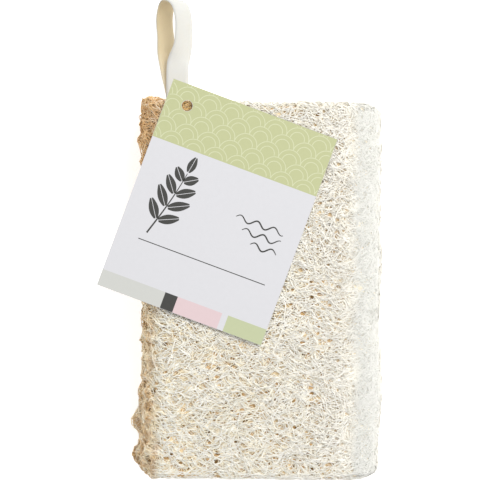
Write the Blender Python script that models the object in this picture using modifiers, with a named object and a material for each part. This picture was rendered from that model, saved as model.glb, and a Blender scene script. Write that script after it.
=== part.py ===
"""Natural loofah sponge with a hanging ribbon and a card swing tag.

Units are metres, +Z is up. The pad lies flat on its back: +Y runs along its length towards the
ribbon, +X across it, and the origin is the middle of the flat spot that it rests on.
"""

import math
import random

import bmesh
import bpy
from mathutils import Vector, noise

SEED = 20

# Pad, a pressed length of loofah with both ends cut
PAD_WIDTH = 0.0954
PAD_LENGTH = 0.1506
PAD_THICKNESS = 0.045
LEFT_ROUND = (0.0085, 0.0165)
RIGHT_ROUND = (0.0170, 0.0205)
END_ROUND = 0.0023
CORNER_ROUND_TOP = 0.0018
CORNER_ROUND_BOTTOM = 0.0058

# Raised net: the cell edges stand up as cords and the middle of each cell sinks as a pore
CELL_ACROSS = 0.0054
CELL_ALONG = 0.0041
CELL_UP = 0.0046
NET_JITTER = 0.24
NET_ZIGZAG = 0.20
NET_DRIFT = 0.0022
CORD_HEIGHT_SPREAD = 0.00030
PORE_DEPTH_LEFT = 0.0030
PORE_DEPTH_MIDDLE = 0.0024
PORE_DEPTH_RIGHT = 0.0014
LUMP_HEIGHT = 0.0008
LUMP_SIZE = 0.024

# Flat spot under the pad
REST_HALF_X = 0.021
REST_HALF_Y = 0.031
UNDERSIDE_CLEAR = 0.00025

# Pressed seed channels, open at both cut ends
CHANNEL_DEPTH = 0.010
CHANNEL_WIDTH = 0.0135
CHANNEL_HEIGHT = 0.0070
CHANNELS = ((-0.0135, 0.0268, 12.0), (0.0085, 0.0176, -7.0), (0.0275, 0.0262, -16.0))

# Ribbon loop, sewn into the end of the pad
RIBBON_WIDTH = 0.0088
RIBBON_THICKNESS = 0.0006
RIBBON_STEPS = 56
TAIL_LOWER = 0.0094
TAIL_UPPER = 0.0054
SEAT_GAP = 0.0003
RIBBON_ROOT_X = -0.0338
RIBBON_ROOT_Z = 0.0202
TAIL_RISE = 0.0012
END_FACE_Y = 0.0756

# Swing tag
TAG_WIDTH = 0.0687
TAG_HEIGHT = 0.0864
TAG_THICKNESS = 0.0006
TAG_CENTRE = (-0.01768, 0.0303)
TAG_TURN = math.radians(-20.4)
TAG_HOLE_RADIUS = 0.00215
TAG_HOLE_FROM_LEFT = 0.0087
TAG_HOLE_FROM_TOP = 0.0082

# Route of the ribbon: x, y, z of its middle line and the lean of its width, right edge down, in degrees
RIBBON_ROUTE = (
    (-0.0338, END_FACE_Y - TAIL_LOWER, 0.0202, 0),
    (-0.0338, 0.0757, 0.0202, 2),
    (-0.0346, 0.0800, 0.0183, 10),
    (-0.0360, 0.0850, 0.0150, 20),
    (-0.0373, 0.0899, 0.0112, 30),
    (-0.0383, 0.0951, 0.0076, 38),
    (-0.0388, 0.1020, 0.0047, 43),
    (-0.0393, 0.1086, 0.0036, 44),
    (-0.0385, 0.1132, 0.0044, 44),
    (-0.0366, 0.1157, 0.0072, 43),
    (-0.0338, 0.1148, 0.0104, 43),
    (-0.0322, 0.1118, 0.0118, 43),
    (-0.0313, 0.1056, 0.0122, 42),
    (-0.0315, 0.0988, 0.0127, 39),
    (-0.0324, 0.0940, 0.0138, 30),
    (-0.0336, 0.0898, 0.0156, 12),
    (-0.0338, 0.0850, 0.0183, 4),
    (-0.0338, 0.0800, 0.0205, 1),
    (-0.0338, 0.0757, 0.0214, 0),
    (-0.0338, END_FACE_Y - TAIL_UPPER, 0.0214, 0),
)


def clear_scene():
    for item in list(bpy.data.objects):
        bpy.data.objects.remove(item, do_unlink=True)


def collection(name):
    made = bpy.data.collections.new(name)
    bpy.context.scene.collection.children.link(made)
    return made


def material(name, colour, roughness):
    made = bpy.data.materials.new(name)
    made.use_nodes = True
    shader = made.node_tree.nodes["Principled BSDF"]
    shader.inputs["Base Color"].default_value = (*colour, 1.0)
    shader.inputs["Roughness"].default_value = roughness
    shader.inputs["Metallic"].default_value = 0.0
    made.diffuse_color = (*colour, 1.0)
    return made


def as_object(name, mesh, group, finish=None):
    made = bpy.data.objects.new(name, mesh)
    group.objects.link(made)
    if finish:
        mesh.materials.append(finish)
    return made


def bump(at, middle, spread):
    return math.exp(-(((at - middle) / spread) ** 2))


def corner_inset(from_end, radius):
    """How far a side has come in, this near to an end with a rounded corner in plan."""
    if from_end >= radius:
        return 0.0
    return radius - math.sqrt(max(radius**2 - (radius - max(from_end, 0.0)) ** 2, 0.0))


def left_side(y):
    """X of the pad's left side, a rough edge with two knots of fibre near the lower corner."""
    side = -0.0476
    side -= 0.0022 * bump(y, -0.0530, 0.0042) + 0.0024 * bump(y, -0.0660, 0.0028)
    side -= 0.0010 * bump(y, 0.0585, 0.0030) + 0.0006 * bump(y, -0.0430, 0.0040)
    side += 0.0006 * bump(y, -0.0170, 0.0120)
    side += 0.0040 * bump(y, -0.0765, 0.0030) + 0.0010 * bump(y, 0.0775, 0.0030)
    return side


def right_side(y):
    """X of the pad's right side, nearly straight, drawn in a little at its waist and lower end."""
    side = 0.0476
    side -= 0.0010 * bump(y, -0.0130, 0.0110)
    side -= 0.0016 * max(0.0, (-0.0420 - y) / 0.0320)
    side -= corner_inset(0.0740 - y, CORNER_ROUND_TOP)
    side -= corner_inset(y + 0.0755, CORNER_ROUND_BOTTOM)
    return side


def top_end(x):
    """Y of the end with the ribbon: a slight slope, and a peak at its left corner."""
    return 0.0744 - 0.0220 * max(0.0, x + 0.008) + 0.0019 * bump(x, -0.0445, 0.0036)


def bottom_end(x):
    """Y of the other end."""
    return -0.0757 + 0.0012 * max(0.0, (x - 0.028) / 0.014) ** 2


def spaced(length, cell, near_ends=()):
    """Places of the cuts from -1 to 1 across a length, with extra ones given by distance to the ends."""
    inner = length - 2 * (max(near_ends) if near_ends else 0.0)
    count = max(2, round(inner / cell))
    start = -inner / 2
    places = [start + inner * i / count for i in range(count + 1)]
    if not near_ends:
        places = places[1:-1]
    for near in near_ends[:-1]:
        places += [-length / 2 + near, length / 2 - near]
    return sorted(2 * place / length for place in places)


def net_cage():
    """A cube from -1 to 1, cut into the net's cells."""
    cage = bmesh.new()
    bmesh.ops.create_cube(cage, size=2.0)
    cuts = (
        (Vector((1, 0, 0)), spaced(PAD_WIDTH, CELL_ACROSS)),
        (Vector((0, 1, 0)), spaced(PAD_LENGTH, CELL_ALONG, (0.0011, 0.0030))),
        (Vector((0, 0, 1)), spaced(PAD_THICKNESS, CELL_UP)),
    )
    for direction, places in cuts:
        for place in places:
            everything = cage.verts[:] + cage.edges[:] + cage.faces[:]
            bmesh.ops.bisect_plane(
                cage, geom=everything, plane_co=direction * place, plane_no=direction, dist=1e-6
            )
    return cage


def rounded_section(across, up):
    """The pressed pad's cross section: the square from -1 to 1 drawn to a rectangle with oval sides."""
    ring = max(abs(across), abs(up), 1e-9)
    across, up = across / ring, up / ring
    half_x, half_z = PAD_WIDTH / 2, PAD_THICKNESS / 2
    oval_x, oval_z = RIGHT_ROUND if across > 0 else LEFT_ROUND
    x, z = across * half_x, up * half_z
    inner_x = min(max(x, -(half_x - oval_x)), half_x - oval_x)
    inner_z = min(max(z, -(half_z - oval_z)), half_z - oval_z)
    out_x, out_z = (x - inner_x) / oval_x, (z - inner_z) / oval_z
    reach = math.hypot(out_x, out_z)
    if reach > 0:
        x = inner_x + oval_x * out_x / reach
        z = inner_z + oval_z * out_z / reach
    return ring * x / half_x, ring * z / half_z


def pad_point(place):
    """From the cage to the pad: oval sides, outline of the two sides and ends, rounded rims."""
    across, along, up = place
    from_end = PAD_LENGTH / 2 * (1 - abs(along))
    rim = corner_inset(from_end, END_ROUND)
    share_x, share_z = rounded_section(across, up)
    share_x *= 1 - rim / (PAD_WIDTH / 2)
    share_z *= 1 - rim / (PAD_THICKNESS / 2)
    y = along * PAD_LENGTH / 2
    left, right = left_side(y), right_side(y)
    x = (left + right) / 2 + share_x * (right - left) / 2
    end = top_end(x) if along > 0 else bottom_end(x)
    y += (end - math.copysign(PAD_LENGTH / 2, along)) * abs(along) ** 3
    z = PAD_THICKNESS / 2 * (1 + share_z)
    return Vector((x, y, z))


def drift(place):
    """A smooth sideways wander, so that the rows of cells wave like the real fibre layers."""
    spot = Vector((place.x * 2.1, place.y * 3.4, place.z * 1.7))
    return (
        noise.noise(spot + Vector((7.3, 1.9, 4.2))),
        noise.noise(spot + Vector((-3.1, 8.4, 0.6))),
        noise.noise(spot + Vector((5.5, -6.2, 9.1))),
    )


def wander(cage, chance):
    """Moves the cage's points along its faces, never off them."""
    sizes = (PAD_WIDTH, PAD_LENGTH, PAD_THICKNESS)
    cells = (CELL_ACROSS, CELL_ALONG, CELL_UP)
    levels = [sorted({round(v.co[axis], 4) for v in cage.verts}) for axis in range(3)]
    rows = [{level: i for i, level in enumerate(found)} for found in levels]
    for vertex in cage.verts:
        place = vertex.co.copy()
        row = [rows[axis][round(place[axis], 4)] for axis in range(3)]
        wave = drift(place)
        near_end = PAD_LENGTH / 2 * (1 - abs(place.y)) < 0.0035
        for axis in range(3):
            turn = 1 if sum(row[other] for other in range(3) if other != axis) % 2 else -1
            step = (chance.uniform(-1, 1) * NET_JITTER + turn * NET_ZIGZAG) * cells[axis]
            if abs(place[axis]) > 0.9999 or (axis == 1 and near_end):
                continue
            fade = min(1.0, 4 * (1 - abs(place[axis])))
            vertex.co[axis] += 2 * (step + fade * wave[axis] * NET_DRIFT) / sizes[axis]


def pore_depth(x):
    """Pores are open and deep on the left and closed up on the right, where the fibres lie dense."""
    if x < -0.030:
        return PORE_DEPTH_LEFT
    if x > 0.026:
        return PORE_DEPTH_RIGHT
    return PORE_DEPTH_MIDDLE


def in_rest_spot(point):
    return point.z < 0.004 and abs(point.x) < REST_HALF_X and abs(point.y) < REST_HALF_Y


def loofah_mesh(chance):
    cage = net_cage()
    wander(cage, chance)
    for vertex in cage.verts:
        vertex.co = pad_point(vertex.co)
    cage.normal_update()
    rest = [vertex for vertex in cage.verts if in_rest_spot(vertex.co)]
    resting = set(rest)
    for vertex in cage.verts:
        if vertex in resting:
            continue
        lump = noise.noise(vertex.co / LUMP_SIZE + Vector((3.7, 0.4, 8.8)))
        height = LUMP_HEIGHT * lump + chance.uniform(-1, 1) * CORD_HEIGHT_SPREAD
        vertex.co += vertex.normal * height
        vertex.co.z = min(max(vertex.co.z, UNDERSIDE_CLEAR), PAD_THICKNESS)
    for vertex in rest:
        vertex.co.z = 0.0
    cells = [face for face in cage.faces if not all(v in resting for v in face.verts)]
    cage.normal_update()
    pores = bmesh.ops.poke(cage, faces=cells)["verts"]
    cage.normal_update()
    for pore in pores:
        depth = pore_depth(pore.co.x) * chance.uniform(0.55, 1.25)
        pore.co -= pore.normal * depth
        pore.co.z = max(pore.co.z, UNDERSIDE_CLEAR)
    bmesh.ops.triangulate(cage, faces=cage.faces[:])
    bmesh.ops.recalc_face_normals(cage, faces=cage.faces[:])
    mesh = bpy.data.meshes.new("loofah_sponge")
    cage.to_mesh(mesh)
    cage.free()
    return mesh


def hide_cutter(cutter):
    cutter.hide_render = True
    cutter.display_type = "WIRE"


def channel_cutters(group):
    """One oval cutter for each seed channel at each end, tapering inwards."""
    made = []
    for x, z, turn in CHANNELS:
        for end in (1, -1):
            shape = bmesh.new()
            bmesh.ops.create_cone(
                shape,
                cap_ends=True,
                segments=12,
                radius1=0.34,
                radius2=0.66,
                depth=2 * CHANNEL_DEPTH,
            )
            for vertex in shape.verts:
                across = vertex.co.x * CHANNEL_WIDTH
                up = vertex.co.y * CHANNEL_HEIGHT
                vertex.co = Vector((across, end * vertex.co.z, up))
            bmesh.ops.recalc_face_normals(shape, faces=shape.faces[:])
            mesh = bpy.data.meshes.new("channel_cutter")
            shape.to_mesh(mesh)
            shape.free()
            cutter = as_object("channel_cutter", mesh, group)
            face = top_end(x) if end > 0 else bottom_end(x)
            cutter.location = (x, face, z)
            cutter.rotation_euler = (0.0, math.radians(turn), 0.0)
            hide_cutter(cutter)
            made.append(cutter)
    return made


def slit_cutter(group):
    """A slit in the pad's end that takes the two stacked tails of the ribbon."""
    depth = TAIL_LOWER + SEAT_GAP
    low = RIBBON_ROOT_Z - RIBBON_THICKNESS / 2 - SEAT_GAP
    high = RIBBON_ROOT_Z + TAIL_RISE + RIBBON_THICKNESS / 2 + SEAT_GAP
    shape = bmesh.new()
    bmesh.ops.create_cube(shape, size=1.0)
    for vertex in shape.verts:
        vertex.co.x *= RIBBON_WIDTH + 2 * SEAT_GAP
        vertex.co.y *= depth + 0.006
        vertex.co.z *= high - low
    mesh = bpy.data.meshes.new("ribbon_slit_cutter")
    shape.to_mesh(mesh)
    shape.free()
    cutter = as_object("ribbon_slit_cutter", mesh, group)
    cutter.location = (RIBBON_ROOT_X, END_FACE_Y - depth + (depth + 0.006) / 2, (low + high) / 2)
    hide_cutter(cutter)
    return cutter


def cut(body, cutter):
    step = body.modifiers.new(cutter.name, "BOOLEAN")
    step.operation = "DIFFERENCE"
    step.object = cutter
    step.solver = "EXACT"


def smooth_route(points, count):
    """Evenly spaced points on one smooth curve through the route's own points."""
    fine = []
    for i in range(len(points) - 1):
        before = points[max(i - 1, 0)]
        after = points[min(i + 2, len(points) - 1)]
        for j in range(24):
            t = j / 24
            fine.append(
                tuple(
                    0.5
                    * (
                        2 * b
                        + (c - a) * t
                        + (2 * a - 5 * b + 4 * c - d) * t**2
                        + (3 * b - a - 3 * c + d) * t**3
                    )
                    for a, b, c, d in zip(before, points[i], points[i + 1], after)
                )
            )
    fine.append(tuple(points[-1]))
    lengths = [0.0]
    for a, b in zip(fine, fine[1:]):
        lengths.append(lengths[-1] + math.dist(a[:3], b[:3]))
    route, i = [], 0
    for k in range(count + 1):
        wanted = lengths[-1] * k / count
        while i < len(fine) - 2 and lengths[i + 1] < wanted:
            i += 1
        share = (wanted - lengths[i]) / max(lengths[i + 1] - lengths[i], 1e-9)
        route.append([a + (b - a) * share for a, b in zip(fine[i], fine[i + 1])])
    return route


def ribbon_object(group, finish):
    """A flat strip laid along its route, then given its thickness."""
    route = smooth_route(RIBBON_ROUTE, RIBBON_STEPS)
    middles = [Vector(point[:3]) for point in route]
    strip = bmesh.new()
    bmesh.ops.create_grid(strip, x_segments=1, y_segments=RIBBON_STEPS, size=0.5)
    for vertex in strip.verts:
        k = round((vertex.co.y + 0.5) * RIBBON_STEPS)
        side = 1 if vertex.co.x > 0 else -1
        ahead, behind = middles[min(k + 1, RIBBON_STEPS)], middles[max(k - 1, 0)]
        along = (ahead - behind).normalized()
        lean = math.radians(route[k][3])
        width = Vector((math.cos(lean), 0.0, -math.sin(lean)))
        width = (width - along * width.dot(along)).normalized()
        vertex.co = middles[k] + width * (side * RIBBON_WIDTH / 2)
    mesh = bpy.data.meshes.new("hanging_ribbon")
    strip.to_mesh(mesh)
    strip.free()
    mesh.shade_smooth()
    made = as_object("hanging_ribbon", mesh, group, finish)
    thick = made.modifiers.new("thickness", "SOLIDIFY")
    thick.thickness = RIBBON_THICKNESS
    thick.offset = 0.0
    thick.use_even_offset = False
    return made


def tag_object(group, finish):
    """A card with square corners and one punched hole, lying on the highest cords of the pad."""
    outline = bpy.data.curves.new("swing_tag", "CURVE")
    outline.dimensions = "2D"
    outline.fill_mode = "BOTH"
    outline.extrude = TAG_THICKNESS / 2
    corners = [(-1, -1), (1, -1), (1, 1), (-1, 1)]
    hole_x = -TAG_WIDTH / 2 + TAG_HOLE_FROM_LEFT
    hole_y = TAG_HEIGHT / 2 - TAG_HOLE_FROM_TOP
    loops = [
        [(x * TAG_WIDTH / 2, y * TAG_HEIGHT / 2) for x, y in corners],
        [
            (
                hole_x + TAG_HOLE_RADIUS * math.cos(2 * math.pi * k / 24),
                hole_y + TAG_HOLE_RADIUS * math.sin(2 * math.pi * k / 24),
            )
            for k in range(24)
        ],
    ]
    for loop in loops:
        spline = outline.splines.new("POLY")
        spline.points.add(len(loop) - 1)
        spline.use_cyclic_u = True
        for point, (x, y) in zip(spline.points, loop):
            point.co = (x, y, 0.0, 1.0)
    outline.materials.append(finish)
    made = bpy.data.objects.new("swing_tag", outline)
    group.objects.link(made)
    height = PAD_THICKNESS + SEAT_GAP + TAG_THICKNESS / 2
    made.location = (TAG_CENTRE[0], TAG_CENTRE[1], height)
    made.rotation_euler = (0.0, 0.0, TAG_TURN)
    return made


def main():
    clear_scene()
    chance = random.Random(SEED)
    parts = collection("natural_loofah_sponge")
    cutters = collection("cutters")
    fibre = material("loofah_fibre", (0.86, 0.79, 0.66), 0.9)
    tape = material("ribbon_cotton", (0.87, 0.85, 0.79), 0.75)
    card = material("tag_card", (0.80, 0.80, 0.79), 0.55)
    pad = as_object("loofah_sponge", loofah_mesh(chance), parts, fibre)
    for cutter in channel_cutters(cutters):
        cut(pad, cutter)
    cut(pad, slit_cutter(cutters))
    ribbon_object(parts, tape)
    tag_object(parts, card)


main()
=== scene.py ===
import math

import bmesh
import bpy
import numpy as np
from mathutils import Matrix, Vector
from mathutils.geometry import tessellate_polygon


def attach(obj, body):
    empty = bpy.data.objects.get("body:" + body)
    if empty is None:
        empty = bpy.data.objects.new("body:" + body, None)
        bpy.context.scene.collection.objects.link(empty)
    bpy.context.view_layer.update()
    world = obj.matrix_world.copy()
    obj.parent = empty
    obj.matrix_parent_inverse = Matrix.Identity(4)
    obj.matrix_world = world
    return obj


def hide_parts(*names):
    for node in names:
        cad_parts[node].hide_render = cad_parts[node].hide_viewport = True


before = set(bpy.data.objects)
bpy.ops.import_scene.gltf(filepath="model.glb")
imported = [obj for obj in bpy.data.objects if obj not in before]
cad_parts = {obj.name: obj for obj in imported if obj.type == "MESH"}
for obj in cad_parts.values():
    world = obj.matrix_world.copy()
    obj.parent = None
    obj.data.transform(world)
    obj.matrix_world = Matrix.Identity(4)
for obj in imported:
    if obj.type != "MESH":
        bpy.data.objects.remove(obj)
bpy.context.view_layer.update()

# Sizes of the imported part, all in metres

SPONGE_TOP = 0.045
END_FACE_Y = 0.0756
RIBBON_WIDTH = 0.0088
RIBBON_THICKNESS = 0.0006
RIBBON_ROOT_X = -0.0338
RIBBON_ROOT_Z = 0.0202
TAIL_LOWER = 0.0094
TAIL_UPPER = 0.0054
TAIL_RISE = 0.0012
TAG_WIDTH = 0.0687
TAG_HEIGHT = 0.0864
TAG_CENTRE = (-0.01768, 0.0303)
TAG_TURN = math.radians(-20.4)
TAG_TOP = 0.0459
TAG_HOLE_RADIUS = 0.00215
TAG_HOLE_FROM_LEFT = 0.0087
TAG_HOLE_FROM_TOP = 0.0082
HOLE = (-TAG_WIDTH / 2 + TAG_HOLE_FROM_LEFT, TAG_HEIGHT / 2 - TAG_HOLE_FROM_TOP)

# The seed channels run from end to end. Each one's middle, across and up
SEED_CHANNELS = ((-0.0135, 0.0268), (0.0085, 0.0176), (0.0275, 0.0262))


def on_tag(u, v, z=TAG_TOP):
    """A place on the card, given from its middle along its own width and height."""
    c, s = math.cos(TAG_TURN), math.sin(TAG_TURN)
    return (TAG_CENTRE[0] + u * c - v * s, TAG_CENTRE[1] + u * s + v * c, z)


HOLE_PLACE = on_tag(*HOLE)


# What every piece and material is made with

# The kinds of node used most
MATH, VECTOR, RANGE = "ShaderNodeMath", "ShaderNodeVectorMath", "ShaderNodeMapRange"
MIX, SPLIT, JOIN = "ShaderNodeMix", "ShaderNodeSeparateXYZ", "ShaderNodeCombineXYZ"
NOISE, CELLS, WAVES = "ShaderNodeTexNoise", "ShaderNodeTexVoronoi", "ShaderNodeTexWave"
BUMP, SURFACE, OUTPUT = "ShaderNodeBump", "ShaderNodeBsdfPrincipled", "ShaderNodeOutputMaterial"
NAMED, STORE = "GeometryNodeInputNamedAttribute", "GeometryNodeStoreNamedAttribute"


def colour(code):
    """A colour written as sRGB hex, as the linear value that a shader socket takes."""
    parts = [int(code[i : i + 2], 16) / 255 for i in (1, 3, 5)]
    linear = [c / 12.92 if c <= 0.04045 else ((c + 0.055) / 1.055) ** 2.4 for c in parts]
    return (*linear, 1.0)


def per(size):
    """A texture's scale for a pattern of this size in millimetres, as the nearest whole number."""
    return float(round(1000 / size))


def add(tree, kind, feeds=(), **settings):
    """Adds one node. Its feeds are in the order of its inputs, or named. A feed is a plain value, a
    colour's hex code, the socket that it is linked from, or a node, which means its first output."""
    node = tree.nodes.new(kind)
    for name, value in settings.items():
        setattr(node, name, value)
    for key, value in feeds.items() if isinstance(feeds, dict) else enumerate(feeds):
        if isinstance(value, bpy.types.Node):
            value = value.outputs[0]
        elif isinstance(value, str) and value.startswith("#"):
            value = colour(value)
        if isinstance(value, bpy.types.NodeSocket):
            tree.links.new(value, node.inputs[key])
        else:
            node.inputs[key].default_value = value
    return node


def coats(tree, base, *layers):
    """Lays each colour over what is there so far, as much as its mask says."""
    for mask, over in layers:
        base = add(tree, MIX, {0: mask, 6: base, 7: over}, data_type="RGBA").outputs[2]
    return base


def new_material(name):
    material = bpy.data.materials.new(name)
    material.use_nodes = True
    material.node_tree.nodes.clear()
    return material, material.node_tree


def show(thing):
    bpy.context.scene.collection.objects.link(thing)
    return thing


def points_of(mesh):
    """The vertices of a mesh and their outward directions, as arrays."""
    count = len(mesh.vertices)
    points = np.empty(count * 3, dtype=np.float32)
    mesh.vertices.foreach_get("co", points)
    outward = np.empty(count * 3, dtype=np.float32)
    mesh.vertex_normals.foreach_get("vector", outward)
    return points.reshape(-1, 3).astype(float), outward.reshape(-1, 3).astype(float)


def move_points(mesh, points):
    mesh.vertices.foreach_set("co", points.astype(np.float32).ravel())
    mesh.update()


def plain_mesh(thing):
    """Turns an object with its modifiers into a plain mesh, and takes the modifiers off."""
    graph = bpy.context.evaluated_depsgraph_get()
    graph.update()
    made = bpy.data.meshes.new_from_object(thing.evaluated_get(graph))
    thing.modifiers.clear()
    thing.data = made
    return made


def dress(mesh, material):
    mesh.materials.clear()
    mesh.materials.append(material)


# Camera: straight above, with a long lens

eye = bpy.data.cameras.new("camera")
eye.sensor_width = 36.0
eye.lens = 301.5
eye.clip_start = 0.05
eye.clip_end = 20.0
camera = show(bpy.data.objects.new("camera", eye))
camera.location = (-0.00876, 0.0193, 1.625)
bpy.context.scene.camera = camera


# The ribbon loop: where it runs, each point with the lean of its width in degrees

RIBBON_ROUTE = (
    (-0.0338, END_FACE_Y - TAIL_LOWER, 0.0202, 0),
    (-0.0338, 0.0757, 0.0202, 2),
    (-0.0346, 0.0800, 0.0183, 10),
    (-0.0360, 0.0850, 0.0150, 20),
    (-0.0373, 0.0899, 0.0112, 30),
    (-0.0383, 0.0951, 0.0076, 38),
    (-0.0388, 0.1020, 0.0047, 43),
    (-0.0393, 0.1086, 0.0036, 44),
    (-0.0385, 0.1132, 0.0044, 44),
    (-0.0366, 0.1157, 0.0072, 43),
    (-0.0338, 0.1148, 0.0104, 43),
    (-0.0322, 0.1118, 0.0118, 43),
    (-0.0313, 0.1056, 0.0122, 42),
    (-0.0315, 0.0988, 0.0127, 39),
    (-0.0324, 0.0940, 0.0138, 30),
    (-0.0336, 0.0898, 0.0156, 12),
    (-0.0338, 0.0850, 0.0183, 4),
    (-0.0338, 0.0800, 0.0205, 1),
    (-0.0338, 0.0757, 0.0214, 0),
    (-0.0338, END_FACE_Y - TAIL_UPPER, 0.0214, 0),
)
RIBBON_STEPS = 220
RIBBON_PROFILE = 9  # points across the width
TAPE_UV = 100  # UV units to a metre, so that one is 10 mm
# The tape lies flat for this far from each end, and waves freely after 10 mm more
FLAT_START = 0.012
FLAT_END = 0.009
CUP = 0.00016
WAVE = 0.00010


def smooth_route(points, count):
    """A smooth curve through the points, as count + 1 points the same distance apart, and its length."""
    fine = []
    last = len(points) - 1
    for i in range(last):
        a, b, c, d = (np.array(points[j]) for j in (max(i - 1, 0), i, i + 1, min(i + 2, last)))
        for t in np.arange(24) / 24:
            squared = (2 * a - 5 * b + 4 * c - d) * t**2
            cubed = (3 * b - a - 3 * c + d) * t**3
            fine.append(0.5 * (2 * b + (c - a) * t + squared + cubed))
    fine.append(np.array(points[-1]))
    fine = np.array(fine)
    steps = np.linalg.norm(np.diff(fine[:, :3], axis=0), axis=1)
    along = np.concatenate([[0], np.cumsum(steps)])
    wanted = np.linspace(0, along[-1], count + 1)
    return np.stack([np.interp(wanted, along, fine[:, k]) for k in range(4)], axis=1), along[-1]


def half_thickness(s):
    """Half the tape's thickness: fuller in its selvedges and rounded at its very edges."""
    share = 0.42 if abs(s) < 0.86 else 0.50 if abs(s) < 0.99 else 0.34
    return RIBBON_THICKNESS * share


def woven_tape():
    """The strip along its route: slightly cupped across, with soft small waves along it."""
    route, length = smooth_route(RIBBON_ROUTE, RIBBON_STEPS)
    line = route[:, :3]
    tangents = np.gradient(line, axis=0)
    tangents /= np.linalg.norm(tangents, axis=1)[:, None]
    lean = np.radians(route[:, 3])
    widths = np.stack([np.cos(lean), np.zeros_like(lean), -np.sin(lean)], axis=1)
    widths -= (widths * tangents).sum(axis=1)[:, None] * tangents
    widths /= np.linalg.norm(widths, axis=1)[:, None]
    normals = np.cross(widths, tangents)
    shape = bmesh.new()
    mapping = shape.loops.layers.uv.new("tape")
    rings = []
    for k in range(RIBBON_STEPS + 1):
        far = length * k / RIBBON_STEPS
        free = min(1.0, max(0.0, min(far - FLAT_START, length - FLAT_END - far) / 0.010))
        ring = []
        for side in (1, -1):
            for i in range(RIBBON_PROFILE)[::side]:
                s = 2 * i / (RIBBON_PROFILE - 1) - 1
                lift = WAVE * free * math.sin(far * 510 + 1.7 * s) * s - CUP * free * (1 - s * s)
                out = normals[k] * (lift + side * half_thickness(s))
                ring.append(shape.verts.new(line[k] + widths[k] * (s * RIBBON_WIDTH / 2) + out))
        rings.append(ring)
    many = len(rings[0])
    for k in range(RIBBON_STEPS):
        for i in range(many):
            j = (i + 1) % many
            face = shape.faces.new((rings[k][i], rings[k][j], rings[k + 1][j], rings[k + 1][i]))
            face.smooth = True
            face.material_index = 1 if i < RIBBON_PROFILE - 1 else 0
            for loop, (ring, place) in zip(face.loops, ((k, i), (k, i + 1), (k + 1, i + 1), (k + 1, i))):
                across = place if place < RIBBON_PROFILE else 2 * RIBBON_PROFILE - 1 - place
                u, v = across * RIBBON_WIDTH / (RIBBON_PROFILE - 1), ring * length / RIBBON_STEPS
                loop[mapping].uv = (u * TAPE_UV, v * TAPE_UV)
    for ring in (rings[0], rings[-1]):
        face = shape.faces.new(ring)
        face.material_index = 1
    bmesh.ops.recalc_face_normals(shape, faces=shape.faces[:])
    mesh = bpy.data.meshes.new("ribbon_tape")
    shape.to_mesh(mesh)
    shape.free()
    return show(bpy.data.objects.new("ribbon_tape", mesh)), line, length


def cotton_tape(name, light, dark, shadow, farther_colour):
    """Bleached cotton, plain woven in fine cross ribs: dull, soft and a little see-through."""
    material, tree = new_material(name)
    place = add(tree, "ShaderNodeUVMap", uv_map="tape")
    # The real ribs are 0.25 mm apart, too fine to show here, so they are drawn 0.5 mm apart and the
    # threads along the tape 0.4 mm. A wave texture has bands 3.14 mm apart at scale 1 on this UV map
    ribs = {"Vector": place, "Scale": 6.3, "Distortion": 0.6, "Detail": 2.0, "Detail Scale": 3.0}
    ribs = add(tree, WAVES, ribs, bands_direction="Y", wave_profile="SIN").outputs["Fac"]
    threads = {"Vector": place, "Scale": 8.0, "Distortion": 0.4, "Detail": 1.0}
    threads = add(tree, WAVES, threads, bands_direction="X", wave_profile="SIN").outputs["Fac"]
    weave = add(tree, MATH, [threads, 0.35, ribs], operation="MULTIPLY_ADD")
    slub = add(tree, NOISE, {"Vector": place, "Scale": 4.0, "Detail": 4.0, "Roughness": 0.6})
    # It turns a little darker from 18 to 34 mm along the tape, and stays so to its end
    far = add(tree, SPLIT, [place]).outputs[1]
    farther_on = add(tree, RANGE, [far, 1.8, 3.4, 0.0, 0.8])
    grooves = add(tree, RANGE, [weave, 0.0, 0.5, 0.30, 0.0])
    paint = coats(tree, light, (slub, dark), (farther_on, farther_colour), (grooves, shadow))
    bump = add(tree, BUMP, {"Strength": 0.35, "Distance": 0.00008, "Height": weave})
    surface = add(tree, SURFACE, {
        "Base Color": paint, "Roughness": 0.82, "IOR": 1.53, "Sheen Weight": 0.25, "Sheen Roughness": 0.5,
        "Subsurface Weight": 0.15, "Subsurface Radius": (0.0012, 0.0010, 0.0007), "Normal": bump})
    add(tree, OUTPUT, [surface])
    return material


ribbon, ribbon_line, ribbon_length = woven_tape()
for shades in (
    ("bleached_cotton_tape_face", "#CFCFCC", "#C8C7C1", "#B1AA9A", "#CBCBC6"),
    # The reverse shows inside the loop: the same white cotton, painted tan as shade from the front strand
    ("cotton_tape_reverse_painted_shade", "#E6DCC4", "#DCCDAC", "#B9A580", "#C5B796"),
):
    ribbon.data.materials.append(cotton_tape(*shades))
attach(ribbon, "root")
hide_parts("hanging_ribbon")


# The sponge's ground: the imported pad's shape, softened, which the fibres lie on

NET_SINK = 0.0008  # how deep the inner net lies under the ground
GROUND_HEIGHTS = (0.0002, SPONGE_TOP - 0.0003)
# Knots of cord on the left side: where, how wide and how far they stand out
KNOBS = (
    (-0.0485, -0.0528, 0.026, 0.0030, 0.0022),
    (-0.0480, -0.0660, 0.026, 0.0032, 0.0020),
    (-0.0480, -0.0200, 0.028, 0.0024, 0.0009),
    (-0.0475, 0.0380, 0.028, 0.0030, 0.0008),
    (-0.0475, 0.0120, 0.024, 0.0024, 0.0008),
    (-0.0480, -0.0385, 0.022, 0.0022, 0.0010),
)


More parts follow.
